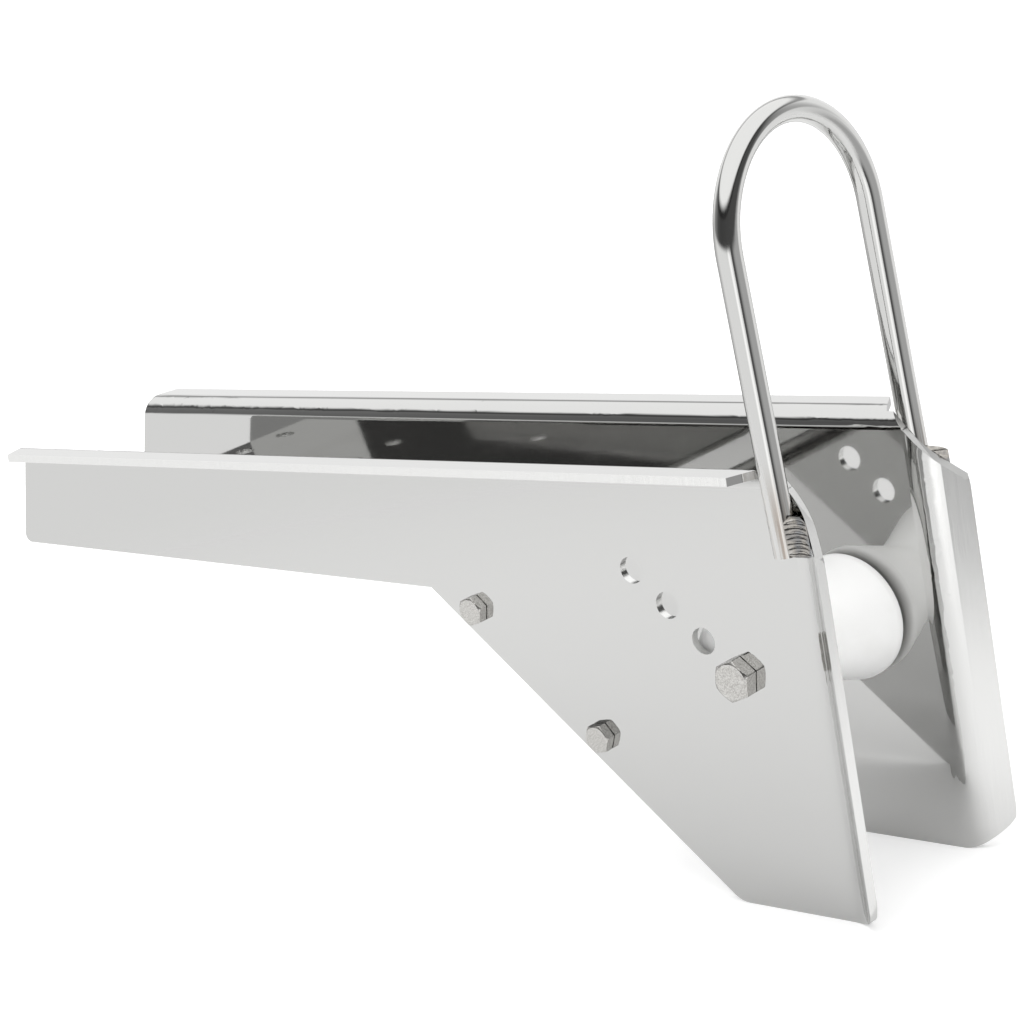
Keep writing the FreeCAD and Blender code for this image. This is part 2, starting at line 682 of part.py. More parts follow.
def edge_bolt_set(name, place):
    """Through bolt beside the sloping edge, with its spacer tube, washer and lock nut."""
    across, outer, bore = "Sizes.inside_width", "Sizes.spacer_diameter", "Sizes.spacer_bore"
    washer, rim, turn = "Sizes.edge_washer", "Sizes.edge_washer_diameter", f"Sizes.{name}_turn"
    tube(f"{name}_spacer_tube", place, f"-{INNER}", across, outer, bore)
    bolt(f"{name}_through_bolt", place, "edge", turn)
    tube(f"{name}_washer", place, OUTER, washer, rim, bore)
    lock_nut(f"{name}_lock_nut", place, "edge", turn)
    nut_insert(f"{name}_nut_insert", place, "edge")


def write_parts():
    """Check every object, then write one STEP file for each sub-part."""
    doc.recompute()
    for item in doc.Objects:
        if {"Invalid", "Error"} & set(item.State):
            raise RuntimeError(f"{item.Label}: {item.State}")
    bodies = [item for item in doc.Objects if item.TypeId == "PartDesign::Body"]
    pieces = [item for item in bodies if not item.Label.endswith("_blank")]
    pieces += [item for item in doc.Objects if item.Label.endswith("_hoop_weld")]
    os.makedirs("parts", exist_ok=True)
    for item in pieces:
        if item.Shape.isNull() or not item.Shape.isValid():
            raise RuntimeError(f"{item.Label} has no valid shape")
        item.Shape.exportStep(f"parts/{item.Label}.step")


starboard = cheek("starboard_cheek", -1)
port = cheek("port_cheek", 1)
floor_plate()
floor_weld("starboard_floor_weld", -1)
floor_weld("port_floor_weld", 1)
bar = hoop()
hoop_weld("starboard_hoop_weld", -1, bar, starboard)
hoop_weld("port_hoop_weld", 1, bar, port)
axle_set()
edge_bolt_set("upper", UPPER_BOLT)
edge_bolt_set("lower", LOWER_BOLT)
roller()
write_parts()
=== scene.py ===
import bpy
import math
import numpy as np
from mathutils import Matrix, Vector


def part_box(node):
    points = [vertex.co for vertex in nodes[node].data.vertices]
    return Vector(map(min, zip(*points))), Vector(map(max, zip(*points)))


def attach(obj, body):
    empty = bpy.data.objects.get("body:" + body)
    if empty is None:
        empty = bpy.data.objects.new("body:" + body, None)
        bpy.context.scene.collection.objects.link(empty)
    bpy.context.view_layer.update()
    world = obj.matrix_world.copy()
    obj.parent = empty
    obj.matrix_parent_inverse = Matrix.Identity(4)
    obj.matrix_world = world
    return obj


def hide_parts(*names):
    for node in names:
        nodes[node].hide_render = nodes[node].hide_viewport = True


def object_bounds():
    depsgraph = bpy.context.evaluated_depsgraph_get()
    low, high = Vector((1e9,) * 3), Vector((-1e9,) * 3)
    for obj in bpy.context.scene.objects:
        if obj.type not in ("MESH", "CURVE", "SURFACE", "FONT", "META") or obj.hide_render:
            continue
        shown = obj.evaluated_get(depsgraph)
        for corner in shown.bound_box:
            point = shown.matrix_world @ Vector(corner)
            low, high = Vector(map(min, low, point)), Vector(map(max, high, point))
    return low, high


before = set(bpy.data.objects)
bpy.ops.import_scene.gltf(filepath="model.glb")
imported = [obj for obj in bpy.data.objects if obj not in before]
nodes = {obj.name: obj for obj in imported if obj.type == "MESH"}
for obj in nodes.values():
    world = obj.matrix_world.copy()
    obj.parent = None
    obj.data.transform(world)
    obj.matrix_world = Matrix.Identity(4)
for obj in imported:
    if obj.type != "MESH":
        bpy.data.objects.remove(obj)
cad_box = [list(corner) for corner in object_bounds()]
scene = bpy.context.scene

# The camera: a long lens a little above the hoop's height, off the starboard bow, rolled
# slightly so that the channel runs level across the picture.
right = np.array([0.74837, 0.64526, -0.15356])
upward = np.array([-0.06609, 0.30291, 0.95073])
back = np.array([0.65998, -0.70135, 0.26933])
lens = bpy.data.cameras.new("camera")
lens.lens, lens.sensor_width = 115.22, 36
lens.shift_x, lens.shift_y = 0.00214, -0.01023
lens.clip_start, lens.clip_end = 0.05, 60
camera = bpy.data.objects.new("camera", lens)
scene.collection.objects.link(camera)
turn = Matrix(np.column_stack([right, upward, back]).tolist()).to_4x4()
camera.matrix_world = Matrix.Translation((1.3323, -1.13513, 0.4663)) @ turn
scene.camera = camera

# The studio: pale walls below the horizon, with a bright strip and a dark doorway that
# draw the streaks on the bar and flares. Above the horizon the bow side is dark and the
# backdrop pale, with a dim line under a bright ceiling. Two facing polished cheeks need
# more bounces between them than the usual four.
scene.view_settings.view_transform = "Standard"
scene.cycles.glossy_bounces = 12


def add_node(tree, kind, **values):
    """One node in a tree. A value that is a socket is linked, and any other is set."""
    node = tree.nodes.new(kind)
    for name, value in values.items():
        key = name.replace("_", " ")
        socket = node.inputs.get(key) or node.inputs.get(name)
        if socket is None:
            setattr(node, name, value)
        elif isinstance(value, bpy.types.NodeSocket):
            tree.links.new(value, socket)
        else:
            socket.default_value = value
    return node


def maths(tree, operation, *terms):
    """Socket that carries one sum or function of its terms."""
    node = tree.nodes.new("ShaderNodeMath")
    node.operation = operation
    for socket, term in zip(node.inputs, terms):
        if isinstance(term, bpy.types.NodeSocket):
            tree.links.new(term, socket)
        else:
            socket.default_value = term
    return node.outputs[0]


def ramp(tree, value, stops):
    """Grey ramp through (place, grey) stops."""
    node = tree.nodes.new("ShaderNodeValToRGB")
    band = node.color_ramp
    while len(band.elements) < len(stops):
        band.elements.new(0.5)
    for element, (place, grey) in zip(band.elements, stops):
        element.position = place
        element.color = (grey, grey, grey, 1)
    tree.links.new(value, node.inputs[0])
    return node.outputs[0]


def span(tree, value, low, high):
    """Smooth step of a value from nought at low to one at high."""
    return add_node(tree, "ShaderNodeMapRange", interpolation_type="SMOOTHSTEP",
                    Value=value, From_Min=low, From_Max=high).outputs[0]


def blend(tree, share, first, second):
    """Value that goes from the first to the second as the share goes from 0 to 1."""
    return maths(tree, "MULTIPLY_ADD", share, maths(tree, "SUBTRACT", second, first), first)


world = bpy.data.worlds.new("studio")
world.use_nodes = True
room = world.node_tree
room.nodes.clear()
gaze = add_node(room, "ShaderNodeTexCoord").outputs["Generated"]
axes = add_node(room, "ShaderNodeSeparateXYZ", Vector=gaze)
rise = axes.outputs["Z"]
compass = maths(room, "ARCTAN2", axes.outputs["Y"], axes.outputs["X"])
bearing = maths(room, "ADD", maths(room, "DIVIDE", compass, 2 * math.pi), 0.5)
brightest, ceiling_light = 1.5, 1.25


def wall(stops):
    """Light of a wall through (bearing from +X in degrees, light) stops."""
    shares = [(degrees / 360 + 0.5, light / brightest) for degrees, light in stops]
    return maths(room, "MULTIPLY", ramp(room, bearing, shares), brightest)


lower_wall = wall([
    (-180, 0.62), (-160, 0.95), (-150, 1.06), (-66, 1.06), (-60, 1.48), (-50, 1.48), (-44, 1.1),
    (-38, 1.06), (-34, 0.10), (-22, 0.12), (-14, 0.38), (0, 0.53), (38, 0.53), (56, 1.06),
    (90, 1.06), (120, 0.5), (150, 0.45), (180, 0.62)])
backdrop = wall([(-180, 1.0), (-160, 0.35), (-125, 0.10), (-100, 0.07), (40, 0.10), (70, 1.1),
                 (180, 1.1)])
gap = maths(room, "MULTIPLY", span(room, rise, 0.36, 0.43), 0.6)
upper_wall = maths(room, "MULTIPLY", backdrop, maths(room, "SUBTRACT", 1.0, gap))
ceiling = span(room, rise, 0.46, 0.60)
walls = blend(room, span(room, rise, -0.06, 0.06), lower_wall, upper_wall)
glow = blend(room, ceiling, walls, ceiling_light)
seen = add_node(room, "ShaderNodeLightPath").outputs["Is Camera Ray"]
shown = blend(room, seen, glow, 1.0)
light = add_node(room, "ShaderNodeBackground", Color=(1, 1, 1, 1), Strength=shown)
shell = add_node(room, "ShaderNodeOutputWorld")
room.links.new(light.outputs[0], shell.inputs["Surface"])
scene.world = world

# The floor: a seamless pale sheet under the keel. The polish reflects the studio's own
# light instead of it, so that the sheet stays even.
floor_edge = 30.0
keel_height = cad_box[0][2]
floor_mesh = bpy.data.meshes.new("pale_floor")
floor_mesh.from_pydata(
    [(-floor_edge, -floor_edge, keel_height), (floor_edge, -floor_edge, keel_height),
     (floor_edge, floor_edge, keel_height), (-floor_edge, floor_edge, keel_height)],
    [], [(0, 1, 2, 3)])
floor_paint = bpy.data.materials.new("pale_floor")
floor_paint.use_nodes = True
sheet = floor_paint.node_tree
sheet.nodes.clear()
ray = add_node(sheet, "ShaderNodeLightPath")
spot = add_node(sheet, "ShaderNodeTexCoord").outputs["Object"]
reach = add_node(sheet, "ShaderNodeVectorMath", operation="DISTANCE")
sheet.links.new(spot, reach.inputs[0])
reach.inputs[1].default_value = (0.25, 0, keel_height)
far = span(sheet, reach.outputs["Value"], 0.45, 0.85)
gone = maths(sheet, "MULTIPLY", far, ray.outputs["Is Glossy Ray"])
paper = add_node(sheet, "ShaderNodeBsdfDiffuse", Color=(0.8, 0.8, 0.8, 1))
lift = maths(sheet, "MULTIPLY_ADD", ray.outputs["Is Camera Ray"], 0.3, 0.05)
glimmer = add_node(sheet, "ShaderNodeEmission", Color=(1, 1, 1, 1), Strength=lift)
both = add_node(sheet, "ShaderNodeAddShader")
sheet.links.new(paper.outputs[0], both.inputs[0])
sheet.links.new(glimmer.outputs[0], both.inputs[1])
clear = add_node(sheet, "ShaderNodeBsdfTransparent")
choice = add_node(sheet, "ShaderNodeMixShader", Fac=gone)
sheet.links.new(both.outputs[0], choice.inputs[1])
sheet.links.new(clear.outputs[0], choice.inputs[2])
surface = add_node(sheet, "ShaderNodeOutputMaterial")
sheet.links.new(choice.outputs[0], surface.inputs["Surface"])
floor_mesh.materials.append(floor_paint)
floor = bpy.data.objects.new("pale_floor", floor_mesh)
scene.collection.objects.link(floor)


def softbox(name, where, facing, size, power):
    """Square lamp at a place, turned towards a point, seen only as the light it gives."""
    lamp = bpy.data.lights.new(name, "AREA")
    lamp.shape, lamp.size, lamp.energy = "SQUARE", size, power
    holder = bpy.data.objects.new(name, lamp)
    scene.collection.objects.link(holder)
    holder.rotation_mode = "QUATERNION"
    holder.rotation_quaternion = (Vector(facing) - Vector(where)).to_track_quat("-Z", "Y")
    holder.location = where
    holder.visible_camera = False
    holder.visible_glossy = False


softbox("overhead_softbox", (0.1, -0.5, 2.2), (0.2, 0, 0), 1.6, 16)
softbox("side_softbox", (-1.2, -1.6, 0.9), (0.2, 0, 0), 1.0, 8)
softbox("bow_softbox", (2.0, 0.15, 0.15), (0.4, 0, 0), 0.9, 9)

# Cheeks: 4 mm stainless plate folded on a press, its faces polished to a mirror after
# folding. The flares were brushed upright and the cut edges dressed with an abrasive
# wheel, so both stay satin.


def new_group(name, inputs, outputs):
    """Shader group with named (name, kind) sockets, and its two end nodes."""
    group = bpy.data.node_groups.new(name, "ShaderNodeTree")
    for label, kind in inputs:
        group.interface.new_socket(label, in_out="INPUT", socket_type=kind)
    for label, kind in outputs:
        group.interface.new_socket(label, in_out="OUTPUT", socket_type=kind)
    return group, group.nodes.new("NodeGroupInput"), group.nodes.new("NodeGroupOutput")


# Fine lines left by an abrasive: noise drawn out along one axis by the Stretch given.
grain, entry, leave = new_group(
    "grain", [("Vector", "NodeSocketVector"), ("Stretch", "NodeSocketVector")],
    [("Lines", "NodeSocketFloat")])
drawn = add_node(grain, "ShaderNodeVectorMath", operation="MULTIPLY")
grain.links.new(entry.outputs["Vector"], drawn.inputs[0])
grain.links.new(entry.outputs["Stretch"], drawn.inputs[1])
fibres = add_node(grain, "ShaderNodeTexNoise", Vector=drawn.outputs[0], Scale=1.0, Detail=4.0,
                  Roughness=0.65)
grain.links.new(fibres.outputs["Fac"], leave.inputs["Lines"])

# Handling marks: a soft mask of scattered smudges some centimetres across.
smudge, entry, leave = new_group(
    "smudge", [("Vector", "NodeSocketVector")], [("Mask", "NodeSocketFloat")])
cloud = add_node(smudge, "ShaderNodeTexNoise", Vector=entry.outputs["Vector"], Scale=22.0,
                 Detail=3.0, Roughness=0.55)
smudge.links.new(span(smudge, cloud.outputs["Fac"], 0.48, 0.72), leave.inputs["Mask"])


def use_group(tree, group, **values):
    """Group node in a tree, with its inputs set or linked."""
    node = add_node(tree, "ShaderNodeGroup", node_tree=group)
    for name, value in values.items():
        if isinstance(value, bpy.types.NodeSocket):
            tree.links.new(value, node.inputs[name])
        else:
            node.inputs[name].default_value = value
    return node.outputs[0]


def new_material(name, metallic=1.0):
    """Principled material, its tree, shader and the object's own coordinates."""
    material = bpy.data.materials.new(name)
    material.use_nodes = True
    tree = material.node_tree
    shader = tree.nodes["Principled BSDF"]
    shader.inputs["Metallic"].default_value = metallic
    spot = add_node(tree, "ShaderNodeTexCoord").outputs["Object"]
    return material, tree, shader, spot


def tint(tree, shader, share, first, second):
    """Base colour that goes from the first to the second with a share."""
    mix = add_node(tree, "ShaderNodeMix", data_type="RGBA")
    mix.inputs[6].default_value = (*first, 1)
    mix.inputs[7].default_value = (*second, 1)
    tree.links.new(share, mix.inputs[0])
    tree.links.new(mix.outputs[2], shader.inputs["Base Color"])


def relief(tree, shader, height, depth):
    """Bump of a height field whose full swing is depth metres."""
    bump = add_node(tree, "ShaderNodeBump", Height=height, Distance=depth)
    tree.links.new(bump.outputs[0], shader.inputs["Normal"])


def dress(names, material):
    """Give each named node the one material."""
    for name in names:
        nodes[name].data.materials.clear()
        nodes[name].data.materials.append(material)


polish, tree, shader, spot = new_material("folded_plate")
axes = add_node(tree, "ShaderNodeSeparateXYZ", Vector=spot)
normal = add_node(tree, "ShaderNodeSeparateXYZ",
                  Vector=add_node(tree, "ShaderNodeNewGeometry").outputs["Normal"])
width = maths(tree, "ABSOLUTE", axes.outputs["Y"])
facing = maths(tree, "ABSOLUTE", normal.outputs["Y"])
fold_line = maths(tree, "MULTIPLY_ADD", axes.outputs["Z"], 0.0227, axes.outputs["X"])
ahead = span(tree, normal.outputs["X"], -0.05, 0.05)
flare = maths(tree, "MULTIPLY", span(tree, fold_line, 0.4800, 0.4925), ahead)
cut = maths(tree, "MULTIPLY", maths(tree, "LESS_THAN", width, 0.0472),
            maths(tree, "LESS_THAN", facing, 0.3))
cut = maths(tree, "MAXIMUM", cut, maths(tree, "GREATER_THAN", width, 0.0638))
lengthwise = use_group(tree, grain, Vector=spot, Stretch=(30, 1800, 1800))
upright = use_group(tree, grain, Vector=spot, Stretch=(2200, 2200, 20))
marks = use_group(tree, smudge, Vector=spot)
satin = maths(tree, "MAXIMUM", flare, cut)
smooth = maths(tree, "MULTIPLY_ADD", marks, 0.02, maths(tree, "MULTIPLY", lengthwise, 0.07))
rough = maths(tree, "MULTIPLY_ADD", upright, 0.12, 0.15)
tree.links.new(blend(tree, satin, smooth, rough), shader.inputs["Roughness"])
tint(tree, shader, maths(tree, "MULTIPLY", satin, maths(tree, "MULTIPLY_ADD", upright, 0.6, 0.5)),
     (0.605, 0.605, 0.597), (0.84, 0.84, 0.83))
lines = blend(tree, satin, maths(tree, "MULTIPLY", lengthwise, 0.02), upright)
relief(tree, shader, lines, 0.0000020)
dress(["starboard_cheek", "port_cheek"], polish)

# Floor plate: the same 4 mm plate, cut to fit between the cheeks and welded along both
# lower edges, polished before it was welded in.
deck, tree, shader, spot = new_material("floor_plate")
lengthwise = use_group(tree, grain, Vector=spot, Stretch=(26, 1500, 1500))
marks = use_group(tree, smudge, Vector=spot)
tree.links.new(maths(tree, "MULTIPLY_ADD", lengthwise, 0.09,
                     maths(tree, "MULTIPLY_ADD", marks, 0.05, 0.01)), shader.inputs["Roughness"])
tint(tree, shader, marks, (0.62, 0.62, 0.612), (0.585, 0.583, 0.573))
relief(tree, shader, lengthwise, 0.0000006)
dress(["floor_plate"], deck)

# Seam welds under the floor: filler run into a bevel and ground flush, so the bead shows
# only as a dull stripe of grinding lines.
ground, tree, shader, spot = new_material("ground_weld")
across = use_group(tree, grain, Vector=spot, Stretch=(2200, 60, 2200))
marks = use_group(tree, smudge, Vector=spot)
tree.links.new(maths(tree, "MULTIPLY_ADD", across, 0.30, 0.20), shader.inputs["Roughness"])
tint(tree, shader, marks, (0.56, 0.55, 0.53), (0.47, 0.44, 0.40))
relief(tree, shader, across, 0.000008)
dress(["starboard_floor_weld", "port_floor_weld"], ground)

# Hoop: 12 mm stainless bar bent cold to an upturned U. Drawing left lines along the bar
# that follow its bend. Near the feet, dark brown streaks along the bar are a painted reflection.
hoop_low, hoop_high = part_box("hoop")
bar_radius, hoop_lean = 0.006, math.radians(3.8)
crown_radius = hoop_high.y - bar_radius
crown_height = hoop_high.z - bar_radius - crown_radius
bar, tree, shader, spot = new_material("drawn_bar")
axes = add_node(tree, "ShaderNodeSeparateXYZ", Vector=spot)
over = maths(tree, "MAXIMUM", maths(tree, "SUBTRACT", axes.outputs["Z"], crown_height), 0.0)
sideways = maths(tree, "SQRT", maths(tree, "ADD", maths(tree, "POWER", over, 2.0),
                                     maths(tree, "POWER", axes.outputs["Y"], 2.0)))
lean = maths(tree, "MULTIPLY_ADD", axes.outputs["Z"], math.tan(hoop_lean), axes.outputs["X"])
along = add_node(tree, "ShaderNodeCombineXYZ", X=lean, Y=sideways, Z=axes.outputs["Z"])
lines = use_group(tree, grain, Vector=along.outputs[0], Stretch=(2000, 2000, 14))
broad = use_group(tree, grain, Vector=along.outputs[0], Stretch=(420, 420, 9))
marks = use_group(tree, smudge, Vector=spot)
# Painted reflection: long dark brown streaks on the lower legs, put into colour and roughness.
foot = maths(tree, "SUBTRACT", 1.0, span(tree, axes.outputs["Z"], 0.045, 0.085))
painted_streaks = maths(tree, "MULTIPLY", foot, span(tree, broad, 0.42, 0.62))
tree.links.new(maths(tree, "MULTIPLY_ADD", lines, 0.16, maths(tree, "MULTIPLY", painted_streaks, 0.12)),
               shader.inputs["Roughness"])
tint(tree, shader, maths(tree, "MULTIPLY", painted_streaks, 0.8), (0.63, 0.63, 0.62), (0.36, 0.30, 0.25))
relief(tree, shader, maths(tree, "ADD", lines, maths(tree, "MULTIPLY", broad, 2.0)), 0.0000040)
dress(["hoop"], bar)

# Hoop welds: two beads at each foot, run upward between the bar, the cheek and the flare.
# Left as welded, with overlapping ripples and the straw and blue of the heat.
filler, tree, shader, spot = new_material("weld_bead")
blotch = add_node(tree, "ShaderNodeTexNoise", Vector=spot, Scale=420.0, Detail=5.0, Roughness=0.6)
heat = add_node(tree, "ShaderNodeTexNoise", Vector=spot, Scale=160.0, Detail=2.0, Roughness=0.5)
band = add_node(tree, "ShaderNodeValToRGB", Fac=heat.outputs["Fac"])
stages = [(0.30, (0.55, 0.54, 0.52)), (0.45, (0.42, 0.40, 0.37)), (0.55, (0.30, 0.29, 0.28)),
          (0.70, (0.25, 0.26, 0.27))]
while len(band.color_ramp.elements) < len(stages):
    band.color_ramp.elements.new(0.5)
for element, (place, colour) in zip(band.color_ramp.elements, stages):
    element.position, element.color = place, (*colour, 1)
tree.links.new(band.outputs[0], shader.inputs["Base Color"])
tree.links.new(maths(tree, "MULTIPLY_ADD", blotch.outputs["Fac"], 0.30, 0.04),
               shader.inputs["Roughness"])
relief(tree, shader, blotch.outputs["Fac"], 0.00012)


def smooth_mesh(name, points, faces, material, sharp=40):
    """Object at the origin with faces smooth but for edges sharper than an angle."""
    mesh = bpy.data.meshes.new(name)
    mesh.from_pydata(points.tolist(), [], faces)
    mesh.materials.append(material)
    mesh.shade_smooth()
    mesh.set_sharp_from_angle(angle=math.radians(sharp))
    piece = bpy.data.objects.new(name, mesh)
    scene.collection.objects.link(piece)
    return piece


def closed_skin(rows, count):
    """Faces of a grid of rings: quads between rings, and a fan at each end to the two
    points that follow the last ring."""
    ring, turn = np.meshgrid(np.arange(rows - 1), np.arange(count), indexing="ij")
    here, there = ring * count + turn, ring * count + (turn + 1) % count
    quads = np.stack([here, there, there + count, here + count], axis=-1).reshape(-1, 4)
    edge = np.arange(count)
    beyond = (edge + 1) % count
    first, last = rows * count, rows * count + 1
    start = np.stack([beyond, edge, np.full(count, first)], axis=-1)
    top = (rows - 1) * count
    end = np.stack([top + edge, top + beyond, np.full(count, last)], axis=-1)
    return quads.tolist() + start.tolist() + end.tolist()


# A bead's section is given by two toes and a hidden root, each as distances ahead of the
# middle of the leg's foot and out from the middle of the channel.
bead_height, bead_rows, bead_columns = 0.0188, 170, 56
ripple_pitch, ripple_depth, ripple_bow = 0.0023, 0.00055, 0.55
foot_gap, back_share = 0.0001, 0.02
foot_x, foot_z = hoop_high.x - bar_radius, hoop_low.z
sections = {
    "front": {"toes": ((0.0042, 0.0572), (0.0160, 0.0560)), "root": (0.0062, 0.0478), "bulge": -0.10},
    "rear": {"toes": ((-0.0102, 0.0472), (-0.0052, 0.0520)), "root": (-0.0030, 0.0478), "bulge": 0.12},
}


def bead_face(rise, across, toes, bulge):
    """Outer face of a bead: the chord between the toes, moved square off itself by a half
    sine that is a share of the chord, and by ripples. A ripple is a blunted half sine of
    the height in pitches less a bow across the face, and its depth wanders slowly."""
    toes = np.array(toes)
    chord = toes[1] - toes[0]
    outward = np.array([-chord[1], chord[0]]) / np.hypot(*chord)
    arch = np.sin(np.pi * across)
    phase = rise * bead_height / ripple_pitch - ripple_bow * arch
    crest = np.power(np.abs(np.sin(np.pi * phase)), 0.7)
    wander = 0.25 * np.sin(9.1 * rise + 2.0) + 0.18 * np.sin(23.7 * rise)
    lift = bulge * np.hypot(*chord) * arch + ripple_depth * (crest + wander) * arch ** 0.6
    return toes[0] + chord * across[..., None] + outward * lift[..., None]


def weld(name, side, section):
    """Bead up one foot of the hoop: a closed loop of the face and a narrow copy of it
    beside the root, drawn in towards its middle at both ends and leaning with the leg."""
    rise = np.linspace(0, 1, bead_rows)[:, None]
    across = np.linspace(0, 1, bead_columns)[None, :]
    face = bead_face(rise, across, section["toes"], section["bulge"])
    root = np.array(section["root"])
    back = root + (face - root) * back_share
    loop = np.concatenate([face, back[:, ::-1]], axis=1)
    ends = np.clip(np.minimum(rise, 1 - rise) * 9, 0, 1) ** 0.5
    middle = loop.mean(axis=1, keepdims=True)
    loop = middle + (loop - middle) * (0.25 + 0.75 * ends)[..., None]
    level = np.broadcast_to(foot_z + foot_gap + rise * bead_height, loop.shape[:2])
    x = foot_x - (level - foot_z) * math.tan(hoop_lean) + loop[..., 0]
    points = np.stack([x, side * loop[..., 1], level], axis=-1)
    caps = points[[0, -1]].mean(axis=1)
    faces = closed_skin(bead_rows, loop.shape[1])
    if side > 0:
        faces = [corners[::-1] for corners in faces]
    return smooth_mesh(name, np.concatenate([points.reshape(-1, 3), caps]), faces, filler)


for side, label in ((-1, "starboard"), (1, "port")):
    for place, section in sections.items():
        piece = weld(f"{label}_{place}_bead", side, section)
        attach(piece, "frame")
        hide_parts(f"{label}_hoop_weld")

# Bolts: stainless hexagon-head bolts with rolled threads, one M12 through the roller and
# two M8 beside the sloping edge. Each is one turned skin, from the head's flat top to the
# thread's tip. The stamped marks of the real heads are left out.
fastener, tree, shader, spot = new_material("rolled_fastener")
marks = use_group(tree, smudge, Vector=spot)
cold = add_node(tree, "ShaderNodeTexNoise", Vector=spot, Scale=1700.0, Detail=4.0, Roughness=0.6)
tree.links.new(maths(tree, "MULTIPLY_ADD", cold.outputs["Fac"], 0.16, 0.13),
               shader.inputs["Roughness"])
worn = maths(tree, "MULTIPLY_ADD", marks, 0.3, span(tree, cold.outputs["Fac"], 0.40, 0.62))
tint(tree, shader, worn, (0.64, 0.63, 0.61), (0.42, 0.41, 0.39))
relief(tree, shader, cold.outputs["Fac"], 0.000025)


thread_share, bevel_slope = 23 / 12, math.tan(math.radians(30))


def bolt_skin(name, flats, head, across, pitch, turn, tip_y):
    """Bolt about the middle of its CAD node, in metres, with its turn in degrees. A ring's
    radius is the least of the hexagon, the bevel's cone and its own limit, and on the
    thread it is a triangle wave of the height in pitches less the turn about the axis."""
    low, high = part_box(name)
    centre = (low + high) / 2
    count = 120
    angle = np.arange(count) * 2 * np.pi / count
    sector = np.mod(angle - math.radians(turn), np.pi / 3) - np.pi / 6
    hexagon = flats / 2 / np.cos(sector)
    face, washer_face, seat = 0.475 * flats, 0.0004, low.y + head
    rings = []
    for depth in np.linspace(0, (flats / math.sqrt(3) - face) * bevel_slope, 7):
        rings.append((low.y + depth, np.minimum(hexagon, face + depth / bevel_slope)))
    rings.append((seat - washer_face, hexagon))
    for y, radius in ((seat - washer_face, face), (seat, face), (seat, across / 2)):
        rings.append((y, np.full(count, radius)))
    thread_depth, rings_per_pitch = 0.54 * pitch, 10
    thread_start = tip_y - thread_share * across
    rings.append((thread_start, np.full(count, across / 2)))
    for y in np.arange(thread_start, tip_y, pitch / rings_per_pitch):
        wave = np.mod((y - thread_start) / pitch - angle / (2 * np.pi), 1)
        groove = np.clip(1.15 * (1 - np.abs(2 * wave - 1)) - 0.08, 0, 1)
        entry = min((y - thread_start) / (1.5 * pitch), 1)
        limit = across / 2 - max(0, y - tip_y + 0.1 * across)
        rings.append((y, np.minimum(across / 2 - thread_depth * entry * groove, limit)))
    rings.append((tip_y, np.full(count, 0.38 * across)))
    ys = np.array([ring[0] for ring in rings])[:, None]
    radii = np.array([ring[1] for ring in rings])
    points = np.stack([centre.x + radii * np.cos(angle), np.broadcast_to(ys, radii.shape),
                       centre.z - radii * np.sin(angle)], axis=-1).reshape(-1, 3)
    poles = np.array([[centre.x, low.y, centre.z], [centre.x, tip_y, centre.z]])
    faces = closed_skin(len(rings), count)
    piece = smooth_mesh(f"{name}_turned", np.concatenate([points, poles]), faces, fastener, 30)
    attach(piece, "frame")
    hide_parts(name)


# Each bolt: across the flats, head height, diameter, pitch, turn, and where its tip ends.
bolt_skin("axle_bolt", 0.018, 0.0075, 0.012, 0.00175, -22, 0.063)
bolt_skin("upper_through_bolt", 0.013, 0.0053, 0.008, 0.00125, -18, 0.063)
bolt_skin("lower_through_bolt", 0.013, 0.0053, 0.008, 0.00125, -9, 0.063)

# Lock nuts and washers: stainless, the nuts faced on a lathe and the washers stamped and
# tumbled, so that both carry faint rings about their own bolts.
for prefix, bolt in (("axle", "axle_bolt"), ("upper", "upper_through_bolt"),
                     ("lower", "lower_through_bolt")):
    low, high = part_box(bolt)
    hub = (low + high) / 2
    faced, tree, shader, spot = new_material(f"{prefix}_faced_nut")
    axes = add_node(tree, "ShaderNodeSeparateXYZ", Vector=spot)
    squares = [maths(tree, "POWER", maths(tree, "SUBTRACT", axes.outputs[axis], middle), 2.0)
               for axis, middle in (("X", hub.x), ("Z", hub.z))]
    radius = maths(tree, "SQRT", maths(tree, "ADD", *squares))
    rings = maths(tree, "SINE", maths(tree, "MULTIPLY", radius, 26000.0))
    speck = add_node(tree, "ShaderNodeTexNoise", Vector=spot, Scale=1100.0, Detail=3.0)
    tree.links.new(maths(tree, "MULTIPLY_ADD", speck.outputs["Fac"], 0.22, 0.12),
                   shader.inputs["Roughness"])
    tint(tree, shader, speck.outputs["Fac"], (0.60, 0.59, 0.57), (0.50, 0.49, 0.47))
    relief(tree, shader, maths(tree, "ADD", rings, speck.outputs["Fac"]), 0.0000035)
    dress([f"{prefix}_lock_nut", f"{prefix}_washer"], faced)

# Nut inserts: nylon rings moulded white and pressed into the nuts' collars.
moulded, tree, shader, spot = new_material("moulded_insert", 0.0)
marks = use_group(tree, smudge, Vector=spot)
speck = add_node(tree, "ShaderNodeTexNoise", Vector=spot, Scale=1500.0, Detail=3.0)
tree.links.new(maths(tree, "MULTIPLY_ADD", speck.outputs["Fac"], 0.20, 0.30),
               shader.inputs["Roughness"])
tint(tree, shader, marks, (0.84, 0.84, 0.82), (0.78, 0.78, 0.75))
relief(tree, shader, speck.outputs["Fac"], 0.00002)
dress(["axle_nut_insert", "upper_nut_insert", "lower_nut_insert"], moulded)

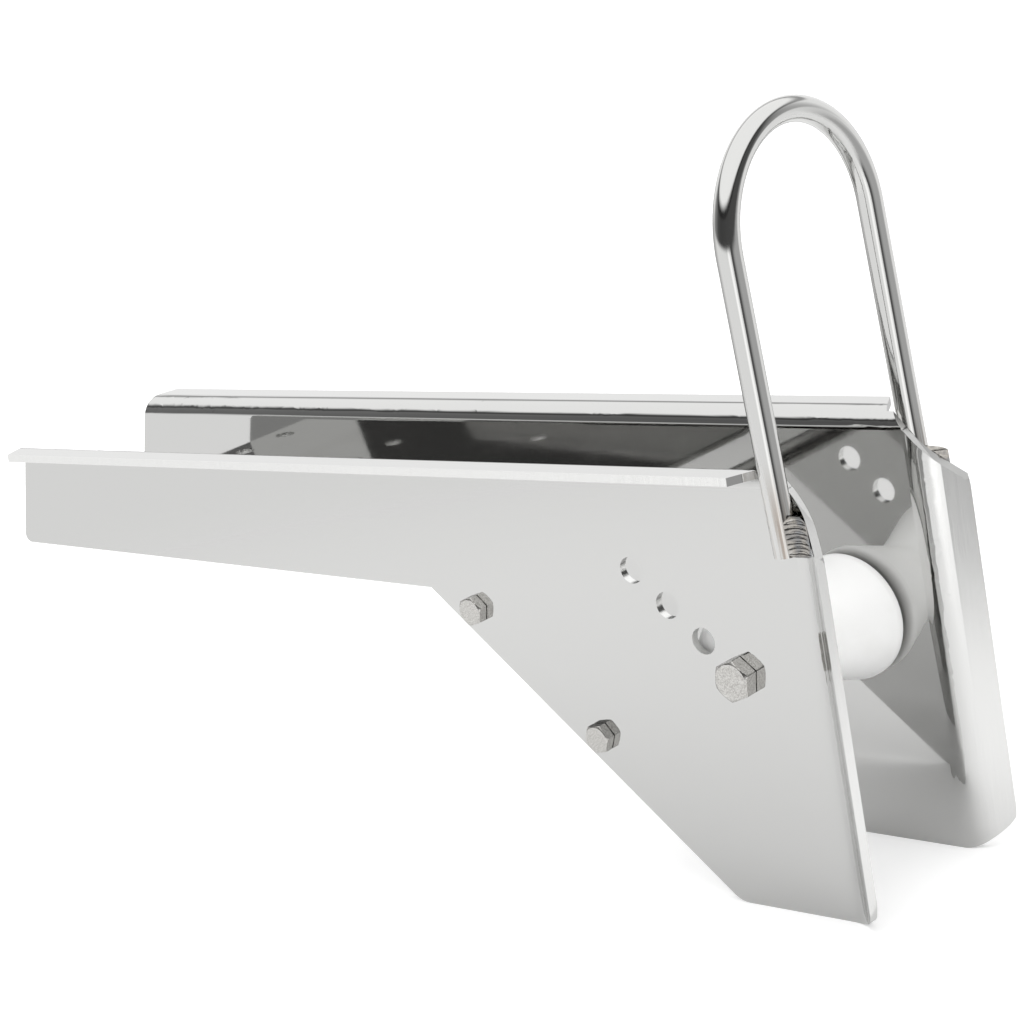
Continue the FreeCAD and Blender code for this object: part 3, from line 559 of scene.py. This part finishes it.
# Axle sleeve and spacer tubes: cold-drawn stainless tube cut to the width between the
# cheeks, with the die's lines along it.
tube, tree, shader, spot = new_material("drawn_tube")
lines = use_group(tree, grain, Vector=spot, Stretch=(2400, 24, 2400))
marks = use_group(tree, smudge, Vector=spot)
tree.links.new(maths(tree, "MULTIPLY_ADD", lines, 0.18, 0.08), shader.inputs["Roughness"])
tint(tree, shader, marks, (0.61, 0.61, 0.60), (0.54, 0.53, 0.51))
relief(tree, shader, lines, 0.000005)
dress(["axle_sleeve", "upper_spacer_tube", "lower_spacer_tube"], tube)

# Roller: white nylon turned from bar, with a deep groove for the chain. Faint rings from
# the tool run about the axle, and the surface is soft and slightly waxy.
turning_pitch = 0.0004
waxy, tree, shader, spot = new_material("turned_nylon", 0.0)
axes = add_node(tree, "ShaderNodeSeparateXYZ", Vector=spot)
rings = maths(tree, "SINE", maths(tree, "MULTIPLY", axes.outputs["Y"], 2 * math.pi / turning_pitch))
marks = use_group(tree, smudge, Vector=spot)
speck = add_node(tree, "ShaderNodeTexNoise", Vector=spot, Scale=700.0, Detail=4.0)
tree.links.new(maths(tree, "MULTIPLY_ADD", speck.outputs["Fac"], 0.16, 0.30),
               shader.inputs["Roughness"])
tint(tree, shader, marks, (0.93, 0.93, 0.92), (0.89, 0.89, 0.875))
relief(tree, shader, maths(tree, "MULTIPLY_ADD", rings, 0.4, speck.outputs["Fac"]), 0.000008)
shader.inputs["Subsurface Weight"].default_value = 0.15
shader.inputs["Subsurface Radius"].default_value = (0.004, 0.004, 0.004)
dress(["roller"], waxy)

# Side washers: thin discs of the same nylon punched from sheet, between roller and cheeks.
punched, tree, shader, spot = new_material("punched_washer", 0.0)
marks = use_group(tree, smudge, Vector=spot)
speck = add_node(tree, "ShaderNodeTexNoise", Vector=spot, Scale=1200.0, Detail=2.0)
tree.links.new(maths(tree, "MULTIPLY_ADD", speck.outputs["Fac"], 0.2, 0.35),
               shader.inputs["Roughness"])
tint(tree, shader, marks, (0.86, 0.86, 0.84), (0.80, 0.80, 0.77))
relief(tree, shader, speck.outputs["Fac"], 0.00001)
dress(["starboard_side_washer", "port_side_washer"], punched)
